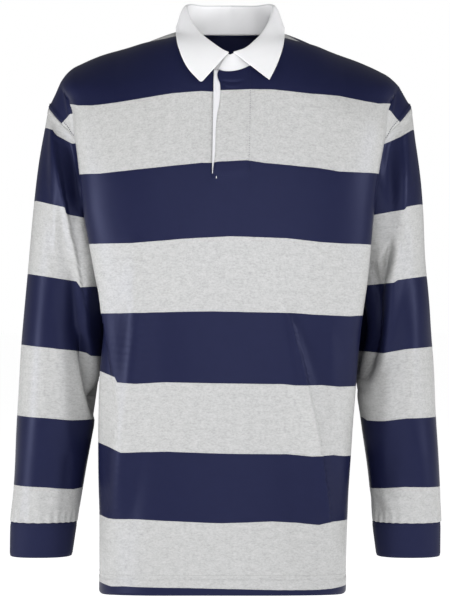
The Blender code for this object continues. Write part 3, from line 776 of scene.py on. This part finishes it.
STRIPED = jersey("striped jersey")
CUFF_KNIT = cuff_knit("navy cuff knit", NAVY, NAVY_LIGHT)
WHITE_TWILL = twill("white twill", WHITE_DIM, WHITE)
# The facing is the same white twill as the collar, dimmed here: painted shade.
SHADED_FACING_TWILL = twill("facing twill, painted shade", (0.57, 0.57, 0.59, 1), (0.62, 0.62, 0.64, 1))
NAVY_THREAD = thread("navy thread", (0.022, 0.025, 0.055, 1))
GREY_THREAD = thread("grey thread", (0.44, 0.44, 0.44, 1))
WHITE_THREAD = thread("white thread", (0.80, 0.80, 0.82, 1))

# ---------------------------------------------------------------- front and back
FRONTWARDS, BACKWARDS = (0, -1, 0), (0, 1, 0)
PANEL_ROWS, FLANK_COLUMNS, CHEST_COLUMNS = 240, 20, 132
RIGHT_COLUMNS, LEFT_COLUMNS = 64, 76  # of the chest, on each side of the slit
SLIT = FLANK_COLUMNS + RIGHT_COLUMNS - 1
SEAM_GAP = 0.0002
DOWN = spaced((0, 0.06, 22), (0.06, 1, PANEL_ROWS - 22), (PLACKET_END, PLACKET_END, 1))
SEAM_WELT, SHOULDER_WELT, HEM_WELT = 0.0010, 0.0007, 0.0006  # how thick the turned cloth is
HEM_DEEP = 0.020
# How far in from their edges the stitches lie
ARMHOLE_STITCH, SHOULDER_STITCH, CUFF_STITCH, COLLAR_STITCH = 0.0062, 0.0055, 0.004, 0.0055
HEM_STITCHES = (HEM_DEEP, 0.0260)
FLY_RISE, FLY_LIP = 0.0012, 0.0008  # of the cloth over the facing, and of its wavy edge
FLY_ACROSS = 0.06  # where that rise has long ended


def placket_line(t):
    """Across, the front's edge over the facing at a share of the way down."""
    return smooth(PLACKET_LINE, 1, t)


def panel(face):
    """Points of a panel: rows down, columns from the right seam to the left one."""
    u = np.linspace(-FOLD, FOLD, CHEST_COLUMNS)
    if face < 0:
        u = np.concatenate([np.linspace(-FOLD, PLACKET_EDGE, RIGHT_COLUMNS),
                            np.linspace(SLIT_LEFT, FOLD, LEFT_COLUMNS)])
    uu, tt = np.meshgrid(u, DOWN)
    if face < 0:
        shift = (placket_line(tt) - SLIT_LEFT) * np.clip(1 - (uu - SLIT_LEFT) / 0.04, 0, 1)
        uu = np.where(uu >= SLIT_LEFT, uu + shift, uu)
    ff, ft = np.meshgrid(np.linspace(1, 0, FLANK_COLUMNS + 1)[:-1], DOWN)
    right, left = flank(-1, ff, ft, face), flank(1, ff[:, ::-1], ft, face)
    return np.concatenate([right, chest(uu, tt, face), left], 1), uu, tt


def seam_relief(points, normals):
    """The turned allowances under the armhole and shoulder seams, and the dip at the seam."""
    across, down = lengths(points, 1), lengths(points, 0)
    moved = np.zeros(points.shape[:2])
    for gap in (across, across[:, -1:] - across):
        ridge = SEAM_WELT * ease(0, 0.0015, gap) * (1 - ease(0.0065, 0.0085, gap))
        moved += ridge * ease(-0.33, -0.30, points[..., 2]) - 0.0005 * notch(gap, 0.0012)
    on_shoulder = np.abs(points[0, :, 0]) > NECK_HALF
    moved += SHOULDER_WELT * on_shoulder * ease(0, 0.0015, down) * (1 - ease(0.005, 0.007, down))
    hem = down[-1:] - down
    turned = 1 - ease(HEM_DEEP - 0.0015, HEM_DEEP + 0.0015, hem)
    moved += HEM_WELT * (turned - notch(hem - HEM_DEEP, 0.0012))
    return points + normals * moved[..., None]


def drawn_back(points):
    """Edges held back from the seams by a hair."""
    points = points.copy()
    sides = points.swapaxes(0, 1)
    for grid, here, there in ((sides, 0, 1), (sides, -1, -2), (points, 0, 1)):
        grid[here] += unit(grid[there] - grid[here]) * SEAM_GAP
    return points


def dressed_panel(face):
    """Points of the front or the back, with its waves, creases, seams and hem."""
    flat, uu, tt = panel(face)
    n = grid_normals(flat, (0, face, 0))
    points = unevenness(flat, n, 0.0011, 3 if face < 0 else 4)
    points = partly(flat, points, ease(0, 0.12, DOWN)[:, None])
    points = crease(points, n, FRONT_FOLDS if face < 0 else BACK_FOLDS)
    points = seam_relief(points, n)
    if face < 0:
        rise = FLY_RISE * (1 - ease(PLACKET_STITCH - 0.002, PLACKET_STITCH + 0.002, uu))
        rise += FLY_LIP * (1 - ease(0, 0.006, uu - placket_line(tt)))
        rise *= (uu > PLACKET_EDGE) & (uu < FLY_ACROSS)
        rise *= 1 - ease(PLACKET_END - 0.005, PLACKET_END + 0.006, tt)
        middle = slice(FLANK_COLUMNS, -FLANK_COLUMNS)
        points[:, middle] += n[:, middle] * rise[..., None]
    # Both panels keep to one line at the side seams, so that these stay shut down to the hem.
    across = lengths(flat, 1)
    beside = ease(0, 0.004, np.minimum(across, across[:, -1:] - across))
    held = 1 - (1 - beside) * (1 - ease(-0.36, -0.32, flat[..., 2]))
    return drawn_back(partly(flat, points, held))


def panel_uv(points, face):
    """Cloth coordinates: metres across, and metres along counted in stripes."""
    x, z = points[..., 0], points[..., 2].copy()
    if face > 0:
        down = lengths(points, 0)
        low = np.argmin(np.abs(z[:, z.shape[1] // 2] + 0.30))
        z[:low] = z[low] + (down[low] - down[:low])
    heights = edge_heights(BODY_STRIPES, x)
    beyond = edge_line(FLANK_EDGE, x)
    for columns in (slice(0, FLANK_COLUMNS), slice(-FLANK_COLUMNS, None)):
        heights[0][:, columns] = beyond[:, columns]
    if face > 0:
        heights[-1] = edge_line(BACK_YOKE_EDGE, x)
    across = lengths(points, 1)
    across = across - across[:, across.shape[1] // 2][:, None]
    return np.stack([across, stripe_count(heights, z) * STRIPE], -1)


front_points, back_points = dressed_panel(-1), dressed_panel(1)
slit_cells = [(i, SLIT) for i, t in enumerate(DOWN[:-1]) if t < PLACKET_END - 1e-6]
front = cloth("front_panel", front_points, FRONTWARDS, JERSEY, panel_uv(front_points, -1),
              [STRIPED], absent=slit_cells)
back = cloth("back_panel", back_points, BACKWARDS, JERSEY, panel_uv(back_points, 1), [STRIPED])

# ---------------------------------------------------------------- sleeves and cuffs
SLEEVE_ROWS, ROUND = 200, 150
TURNS = np.arange(ROUND) * 2 * np.pi / ROUND
SLEEVE_ROUND, CUFF_ROUND = 0.058, 0.04  # metres of cloth for each radian
WELT, GATHER = 0.0004, 0.0007  # heights of the armhole's welt and of the gathers at the cuff
BACK_SHARES = (1, 1, 1, 1, 1, 1, 0.8, 1.2, 0)  # a sleeve's folds show at its back, but softer


def armhole_ring(side):
    """The armhole seam from the shoulder tip down the front and up the back."""
    t = np.linspace(0, UNDERARM, ROUND // 2 + 1)
    return np.concatenate([edge(side, t, -1), edge(side, t[-2:0:-1], 1)])


def joined(grid):
    """A ring's grid with its first column once more at the end."""
    return np.concatenate([grid, grid[:, :1]], 1)


def round_cloth(name, points, side, thick, turns, radius, along, material):
    """The cloth of a sleeve or a cuff, with its map carried on all the way round."""
    turns = joined(turns)
    turns[:, -1] += 2 * np.pi
    uv = np.stack([turns * radius, along], -1)
    return cloth(name, points, (side, 0, 0), thick, uv, [material], ring=True)


def sleeve(name, table, side, folds, stripes, seed):
    """A sleeve, with its waves and creases, the welt at its armhole and gathers at its cuff."""
    share = spaced((0, 0.05, 14), (0.05, 1, SLEEVE_ROWS - 13))
    ss, turns = np.meshgrid(share, TURNS, indexing="ij")
    start = armhole_ring(side) - tube(table, np.zeros(ROUND), TURNS)
    flat = tube(table, ss, turns) + start * (np.maximum(0, 1 - ss / 0.22) ** 2)[..., None]
    n = grid_normals(flat, (side, 0, 0), ring=True)
    down = lengths(flat, 0)
    even = partly(flat, unevenness(flat, n, 0.0016, seed), ease(0, 0.05, down))
    points = crease(even, n, folds, n[..., 1] < 0.3)
    points = crease(points, n, np.array(folds[1:]) * BACK_SHARES, n[..., 1] > 0.5)
    points = partly(even, points, ease(0, 0.018, down))
    relief = WELT * ease(0, 0.002, down) * (1 - ease(0.006, 0.009, down))
    waves = np.sin(turns * 23 + 1.3 * np.sin(turns * 3))
    relief += GATHER * waves * ease(0.94, 0.995, down / down[-1:])
    points = points + n * relief[..., None]
    closed = joined(points)
    count = stripe_count(edge_heights(stripes, closed[..., 0]), closed[..., 2])
    return round_cloth(name, points, side, JERSEY, turns, SLEEVE_ROUND, count * STRIPE, STRIPED)


def cuff(name, table, side, seed):
    """A cuff, with its points and normals for the stitches."""
    share = np.linspace(CUFF_GAP + 0.0005, CUFF_MOUTH, 26)
    ss, turns = np.meshgrid(share, TURNS, indexing="ij")
    points = tube(table, ss, turns)
    n = grid_normals(points, (side, 0, 0), ring=True)
    down = lengths(points, 0)
    relief = 0.0006 * ease(0, 0.004, down) * ease(0, 0.004, down[-1:] - down)
    relief -= 0.0005 * notch(down - CUFF_STITCH, 0.001)
    points = unevenness(points, n, 0.0006, seed) + n * relief[..., None]
    thing = round_cloth(name, points, side, CUFF_THICK, turns, CUFF_ROUND, joined(down), CUFF_KNIT)
    return thing, points, n


right_sleeve = sleeve("right_sleeve", SLEEVE_RIGHT, -1, SLEEVE_RIGHT_FOLDS, RIGHT_STRIPES, 11)
left_sleeve = sleeve("left_sleeve", SLEEVE_LEFT, 1, SLEEVE_LEFT_FOLDS, LEFT_STRIPES, 12)
right_cuff, *right_cuff_grids = cuff("right_cuff", SLEEVE_RIGHT, -1, 21)
left_cuff, *left_cuff_grids = cuff("left_cuff", SLEEVE_LEFT, 1, 22)

# ---------------------------------------------------------------- collar
round_stand = spaced((STAND_UNDER, -0.5, 60), (-0.5, 0.5, 60), (0.5, STAND_OVER, 60))
vv, ww = np.meshgrid(np.linspace(0, 1, 14), round_stand, indexing="ij")
stand_points = lapped(partly(stand_foot(ww), stand_top(ww), vv), ww)
# The stand's outer face is a dimmer copy of the white twill, which is painted shade. Its inner
# face, seen through the neck, is a much brighter copy, which is painted light.
stand = cloth("collar_stand", stand_points, BACKWARDS, TWILL, own_map(stand_points),
              [twill("stand twill, painted shade", (0.64, 0.64, 0.65, 1), (0.68, 0.68, 0.69, 1)),
               twill("stand inside twill, painted light", (0.86, 0.86, 0.87, 1), (0.92, 0.92, 0.93, 1))])

vv, ww = np.meshgrid(spaced((0, 0.1, 7), (0.1, 0.94, 24), (0.94, 1, 8)),
                     spaced((-1, -0.985, 9), (-0.985, 1.005, 170), (1.005, 1.02, 9)),
                     indexing="ij")
fall_points = leaf(ww, vv)
fall = cloth("collar_fall", fall_points, BACKWARDS, TWILL, own_map(fall_points), [WHITE_TWILL])


# ---------------------------------------------------------------- placket
def off_front(u, t, out):
    """Points of the front, moved out along its normal."""
    u, t, out = np.broadcast_arrays(u, t, out)
    down = chest(u, t + 0.01, -1) - chest(u, np.maximum(t - 0.01, 0), -1)
    along = chest(u + 0.004, t, -1) - chest(u - 0.004, t, -1)
    n = unit(np.cross(along, down))
    n *= -np.sign(n[..., 1:2])
    return chest(u, t, -1) + n * out[..., None]


def swept(name, places, outline):
    """A closed strip down the placket. outline(t) gives each corner's place across and out."""
    sections = []
    for t in places:
        across, out = np.transpose(outline(t))
        sections.append(off_front(across, t, out))
    sections = np.array(sections)
    rows, corners = sections.shape[:2]
    last = (rows - 1) * corners
    faces = [list(range(corners)), list(range(last + corners - 1, last - 1, -1))]
    for i in range(0, last, corners):
        for j in range(corners):
            k = (j + 1) % corners
            faces.append([i + j, i + corners + j, i + corners + k, i + k])
    uv = own_map(sections).reshape(-1, 2)[np.concatenate(faces)]
    # Both strips take the facing twill dimmed by painted shade.
    thing = covered(name, sections.reshape(-1, 3), faces, uv, [SHADED_FACING_TWILL], [0] * len(faces))
    thing.data.set_sharp_from_angle(angle=math.radians(50))
    return thing


def facing_outline(t):
    """The facing shows along the slit, lies under the front's edge and ends at its stitches."""
    end = placket_line(t)
    free = PLACKET_EDGE + 0.0004 - 0.0006 * math.sin(t * 12)
    return ((free, 0.0002), (free - 0.0003, 0.0007), (free + 0.0003, 0.0013),
            (end - 0.0010, 0.0012), (end + 0.0016, 0.0004), (end + 0.0040, -0.0016),
            (PLACKET_STITCH, -0.0016), (PLACKET_STITCH, -0.0030), (-0.0175, -0.0030),
            (-0.0208, -0.0017))


def underlap_outline(t):
    """The layer that the placket laps over: its free edge to the wearer's right lies nearest
    the front, and it dips behind the facing and ends behind the lap."""
    free = -0.0340 + 0.0005 * math.sin(t * 43) + 0.0003 * math.sin(t * 97 + 1)
    dip = 0.0002 * math.sin(t * 61)
    return ((free, -0.0029), (free + 0.0006, -0.0025), (-0.0250, -0.0025),
            (-0.0215, -0.0039 + dip), (0.0, -0.0040 + dip), (0.0154, -0.0040),
            (0.0160, -0.0046), (0.0154, -0.0052), (0.0, -0.0053 + dip),
            (-0.0225, -0.0053 + dip), (-0.0262, -0.0038), (free + 0.0006, -0.0037),
            (free, -0.0033))


facing = swept("placket_facing", np.linspace(0.006, PLACKET_END, 60), facing_outline)
underlap = swept("placket_underlap", np.linspace(0.020, PLACKET_END - 0.001, 50),
                 underlap_outline)


# ---------------------------------------------------------------- stitches
def stitch_tree():
    """Geometry Nodes: short stitches laid end to end along a path, slightly uneven."""
    tree = new_group("GeometryNodeTree", "row of stitches", {
        "Path": "Geometry", "Pitch": "Float", "Stitch": "Float", "Thickness": "Float",
        "Thread": "Material"}, {"Stitches": "Geometry"})

    def add(kind, *given, **values):
        return add_node(tree, kind, *given, **values).outputs[0]

    given = tree.nodes.new("NodeGroupInput").outputs
    curve = add("GeometryNodeMeshToCurve", given["Path"])
    even = add("GeometryNodeResampleCurve", mode="LENGTH", Curve=curve, Length=given["Pitch"])
    bead = add("GeometryNodeMeshUVSphere", Segments=6, Rings=4, Radius=0.5)
    size = add("ShaderNodeCombineXYZ", given["Thickness"], given["Thickness"], given["Stitch"])
    turn = add("FunctionNodeAlignRotationToVector", axis="Z",
               Vector=add("GeometryNodeInputTangent"))
    wander = add("FunctionNodeRandomValue", data_type="FLOAT_VECTOR", Min=(0.85, 0.85, 0.9),
                 Max=(1.1, 1.1, 1.05), Seed=7)
    uneven = add("ShaderNodeVectorMath", size, wander, operation="MULTIPLY")
    placed = add("GeometryNodeInstanceOnPoints", Points=even, Instance=bead, Rotation=turn,
                 Scale=uneven)
    soft = add("GeometryNodeSetShadeSmooth", add("GeometryNodeRealizeInstances", placed))
    done = add("GeometryNodeSetMaterial", Geometry=soft, Material=given["Thread"])
    add_node(tree, "NodeGroupOutput", done)
    return tree


STITCHES = stitch_tree()


def stitched(name, paths, material, pitch=0.0032, stitch=0.0025, thickness=0.0005):
    """One piece of all the stitches along these paths, each a row of points on the cloth."""
    points, edges = [], []
    for path in paths:
        edges += [(len(points) + k, len(points) + k + 1) for k in range(len(path) - 1)]
        points += [tuple(p) for p in path]
    mesh = bpy.data.meshes.new(name)
    mesh.from_pydata(points, edges, [])
    guide = piece(name + "_path", mesh)
    modifier = guide.modifiers.new("stitches", "NODES")
    modifier.node_group = STITCHES
    values = {"Pitch": pitch, "Stitch": stitch, "Thickness": thickness, "Thread": material}
    for item in STITCHES.interface.items_tree:
        if item.name in values:
            modifier[item.identifier] = values[item.name]
    bpy.context.view_layer.update()
    graph = bpy.context.evaluated_depsgraph_get()
    done = bpy.data.meshes.new_from_object(guide.evaluated_get(graph))
    done.name = name
    bpy.data.objects.remove(guide)
    return piece(name, done)


def inset(points, n, gap, axis, at_end=False, rise=0.0001, low=-9.0, high=9.0):
    """A path along a side edge (axis 1) or the top or bottom edge (axis 0) of a grid, gap
    metres in from it and risen a little off the cloth."""
    along = lengths(points, axis)
    if axis == 0:
        along, points, n = along.T, points.swapaxes(0, 1), n.swapaxes(0, 1)
    if at_end:
        along, points, n = (along[:, -1:] - along)[:, ::-1], points[:, ::-1], n[:, ::-1]
    path = []
    for row, places, ups in zip(along, points, n):
        at, up = (np.array([np.interp(gap, row, values) for values in grid.T])
                  for grid in (places, ups))
        if low < at[2] < high:
            path.append(at + up * rise)
    return path


PANELS = ((front_points, grid_normals(front_points, FRONTWARDS)),
          (back_points, grid_normals(back_points, BACKWARDS)))
armhole_stitches = stitched("armhole_stitching", [
    inset(*grids, ARMHOLE_STITCH, axis=1, at_end=at_end, rise=0.0003, low=-0.31, high=0.0)
    for grids in PANELS for at_end in (False, True)], NAVY_THREAD, thickness=0.0009)

beside_neck = np.abs(front_points[0, :, 0]) > NECK_HALF + 0.006
beside_neck[:15] = beside_neck[-14:] = False  # clear of the armholes
shoulder_stitches = stitched("shoulder_stitching", [
    inset(*(grid[:, beside_neck & (side * front_points[0, :, 0] > 0)] for grid in PANELS[0]),
          SHOULDER_STITCH, axis=0) for side in (-1, 1)], NAVY_THREAD)

hem_stitches = stitched("hem_stitching", [
    inset(*grids, gap, axis=0, at_end=True)
    for grids in PANELS for gap in HEM_STITCHES], GREY_THREAD)

cuff_paths = [inset(*grids, CUFF_STITCH, axis=0)
              for grids in (right_cuff_grids, left_cuff_grids)]
cuff_stitches = stitched("cuff_stitching", [path + path[:1] for path in cuff_paths], NAVY_THREAD)

placket_path = off_front(PLACKET_STITCH, np.linspace(0.010, PLACKET_END, 60), 0.0009)
placket_foot = off_front(np.linspace(-0.0185, PLACKET_STITCH, 14), PLACKET_END, 0.0008)
placket_stitches = stitched("placket_stitching", [placket_path, placket_foot], NAVY_THREAD,
                            pitch=0.0030, stitch=0.0019, thickness=0.00045)
tack = off_front(-0.0158, np.linspace(PLACKET_END + 0.0025, PLACKET_END + 0.0050, 5), 0.0006)
bartack = stitched("placket_tack", [tack], WHITE_THREAD, pitch=0.0005, stitch=0.0010,
                   thickness=0.0011)

fall_grids = (fall_points, grid_normals(fall_points, BACKWARDS))
collar_stitches = stitched("collar_stitching", [
    inset(*(grid[:, 4:-4] for grid in fall_grids), COLLAR_STITCH, axis=0, at_end=True),
    *(inset(*fall_grids, COLLAR_STITCH, 1, at_end)[7:-3] for at_end in (False, True))],
    WHITE_THREAD, pitch=0.0026, stitch=0.0021, thickness=0.0004)

# ---------------------------------------------------------------- how the pieces belong
jersey_pieces = (
    (front, "front", (0.62, 0.80), 0.41, [placket_stitches, bartack]),
    (back, "back", (0.62, 0.83), 0.43, []),
    (right_sleeve, "sleeve_right", (0.42, 0.60), 0.19, []),
    (left_sleeve, "sleeve_left", (0.42, 0.60), 0.19, []),
)
for thing, node, flat, area, on_it in jersey_pieces:
    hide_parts(node)
for thing, node in ((right_cuff, "cuff_right"), (left_cuff, "cuff_left")):
    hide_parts(node)
for thing, node, flat, area in ((stand, "collar_stand", (0.44, 0.048), None),
                                (fall, "collar_fall", (0.47, 0.092), 0.030)):
    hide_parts(node)
for thing, node, flat in ((facing, "placket_facing", (0.052, 0.143)),
                          (underlap, "placket_under", (0.052, 0.143))):
    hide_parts(node)

for thing in (front, back, right_sleeve, left_sleeve, right_cuff, left_cuff, stand, fall, facing,
              underlap, armhole_stitches, shoulder_stitches, hem_stitches, cuff_stitches,
              placket_stitches, bartack, collar_stitches):
    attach(thing, "root")

# ---------------------------------------------------------------- floor, light and camera
FLOOR, FLOOR_HALF = -0.80, 30
AIM = (0, 0, -0.38)
EYE_HEIGHT, EYE_DISTANCE, EYE_ACROSS = -0.3605, 3.4, -0.00675
VIEW_HEIGHT = 0.81  # how much of the height shows at the shirt's middle
FILM = 36

floor_mesh = bpy.data.meshes.new("floor")
floor_mesh.from_pydata([(x * FLOOR_HALF, y * FLOOR_HALF, FLOOR)
                        for x, y in ((-1, -1), (1, -1), (1, 1), (-1, 1))], [], [(0, 1, 2, 3)])
floor = piece("floor", floor_mesh)
pale, tree, shader = new_material("pale floor", 0.9)
shader.inputs["Base Color"].default_value = (0.95, 0.95, 0.95, 1)
shader.inputs["Emission Color"].default_value = (1, 1, 1, 1)
shader.inputs["Emission Strength"].default_value = 0.8
floor_mesh.materials.append(pale)

world = bpy.data.worlds.new("studio")
world.use_nodes = True
tree = world.node_tree
sky = tree.nodes["Background"]
sky.inputs["Color"].default_value = (1, 1, 1, 1)
sky.inputs["Strength"].default_value = 0.20
backdrop = add_node(tree, "ShaderNodeBackground", Color=(1, 1, 1, 1))
seen = add_node(tree, "ShaderNodeLightPath").outputs["Is Camera Ray"]
both = add_node(tree, "ShaderNodeMixShader", seen, sky.outputs[0], backdrop.outputs[0])
tree.links.new(both.outputs[0], tree.nodes["World Output"].inputs[0])
bpy.context.scene.world = world


def light(name, kind, place, aim, energy, **values):
    """A lamp that faces its aim; values are its other settings."""
    lamp = bpy.data.lights.new(name, kind)
    for key, value in (("energy", energy), *values.items()):
        setattr(lamp, key, value)
    thing = piece(name, lamp)
    thing.location = place
    way = Vector(aim) - Vector(place)
    thing.rotation_euler = way.to_track_quat("-Z", "Y").to_euler()


light("key", "AREA", (2.9, -1.45, 0.2), AIM, 45, shape="SQUARE", size=0.9)
light("front", "AREA", (0.2, -3.0, -0.1), (0, 0, -0.45), 41, shape="SQUARE", size=2.2)
light("collar_lamp", "SPOT", (0.4, -2.3, 1.1), (-0.01, 0.02, 0.0), 96,
      spot_size=math.radians(8), spot_blend=0.8, shadow_soft_size=0.12)
light("fill", "AREA", (-2.9, -1.45, -0.4), AIM, 58, shape="SQUARE", size=0.8)

lens = bpy.data.cameras.new("camera")
lens.sensor_width = FILM
lens.lens = FILM * EYE_DISTANCE / VIEW_HEIGHT
camera = piece("camera", lens)
camera.location = (EYE_ACROSS, -EYE_DISTANCE, EYE_HEIGHT)
camera.rotation_euler = (math.pi / 2, 0, 0)
bpy.context.scene.camera = camera
bpy.context.scene.view_settings.view_transform = "Standard"
